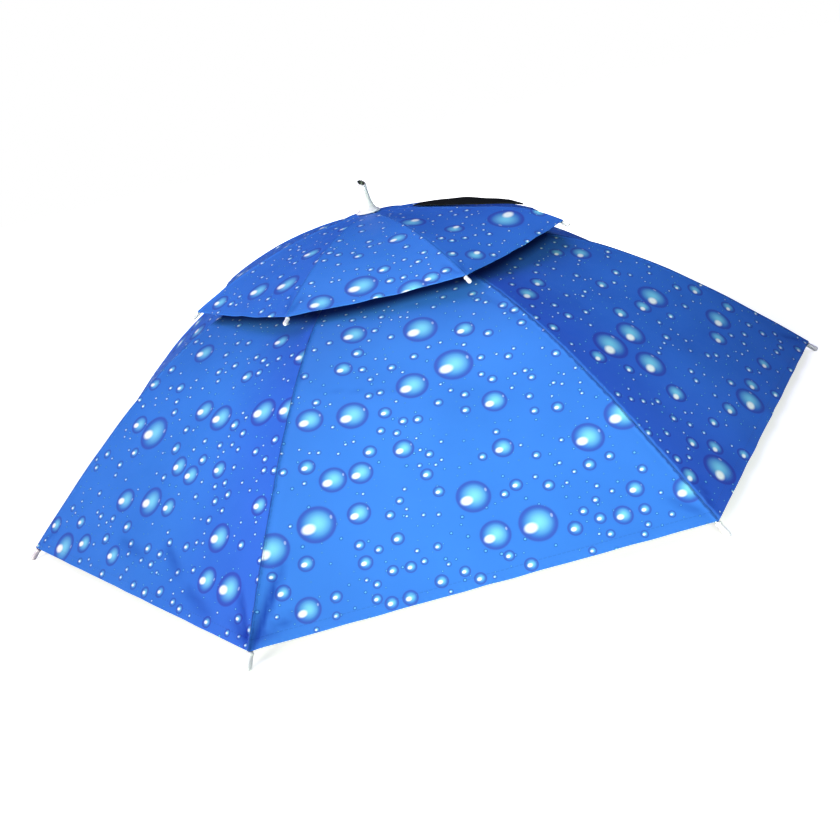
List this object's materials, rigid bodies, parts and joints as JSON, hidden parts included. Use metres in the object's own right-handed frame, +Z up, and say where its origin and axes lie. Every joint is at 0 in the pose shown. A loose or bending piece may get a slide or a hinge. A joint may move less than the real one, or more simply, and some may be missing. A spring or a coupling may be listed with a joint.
{
  "type": "umbrella hat",
  "caption": "Hands-free umbrella hat with a wide ribbed canopy, a small second canopy over its vent, and a band that sits on the head.",
  "frame": {"origin": "on the surface that the hat stands on, under the centre post", "axes": "+Z up along the centre post, -Y towards the panel that the picture shows in front"},
  "size_m": [0.726, 0.726, 0.2283],
  "materials": {
    "wide_cloth": "satin printed cloth, black coated inside",
    "small_cloth": "satin printed cloth, black coated inside",
    "rib_steel": "bright wire",
    "tip_plastic": "white moulded",
    "post_plastic": "white moulded",
    "spike_plastic": "white moulded",
    "frame_plastic": "black moulded",
    "band_cloth": "black woven elastic",
    "strap_webbing": "black woven strap"
  },
  "bodies": {
    "root": {"wide_canopy": "wide_cloth", "small_canopy": "small_cloth", "long_rib_1": "rib_steel", "long_tip_1": "tip_plastic", "long_rib_2": "rib_steel", "long_tip_2": "tip_plastic", "long_rib_3": "rib_steel", "long_tip_3": "tip_plastic", "long_rib_4": "rib_steel", "long_tip_4": "tip_plastic", "long_rib_5": "rib_steel", "long_tip_5": "tip_plastic", "long_rib_6": "rib_steel", "long_tip_6": "tip_plastic", "long_rib_7": "rib_steel", "long_tip_7": "tip_plastic", "long_rib_8": "rib_steel", "long_tip_8": "tip_plastic", "short_rib_1": "rib_steel", "short_tip_1": "tip_plastic", "short_rib_2": "rib_steel", "short_tip_2": "tip_plastic", "short_rib_3": "rib_steel", "short_tip_3": "tip_plastic", "short_rib_4": "rib_steel", "short_tip_4": "tip_plastic", "short_rib_5": "rib_steel", "short_tip_5": "tip_plastic", "short_rib_6": "rib_steel", "short_tip_6": "tip_plastic", "short_rib_7": "rib_steel", "short_tip_7": "tip_plastic", "short_rib_8": "rib_steel", "short_tip_8": "tip_plastic", "centre_post": "post_plastic", "top_spike": "spike_plastic", "head_frame": "frame_plastic", "head_band": "band_cloth", "closing_strap": "strap_webbing"}
  },
  "joints": []
}
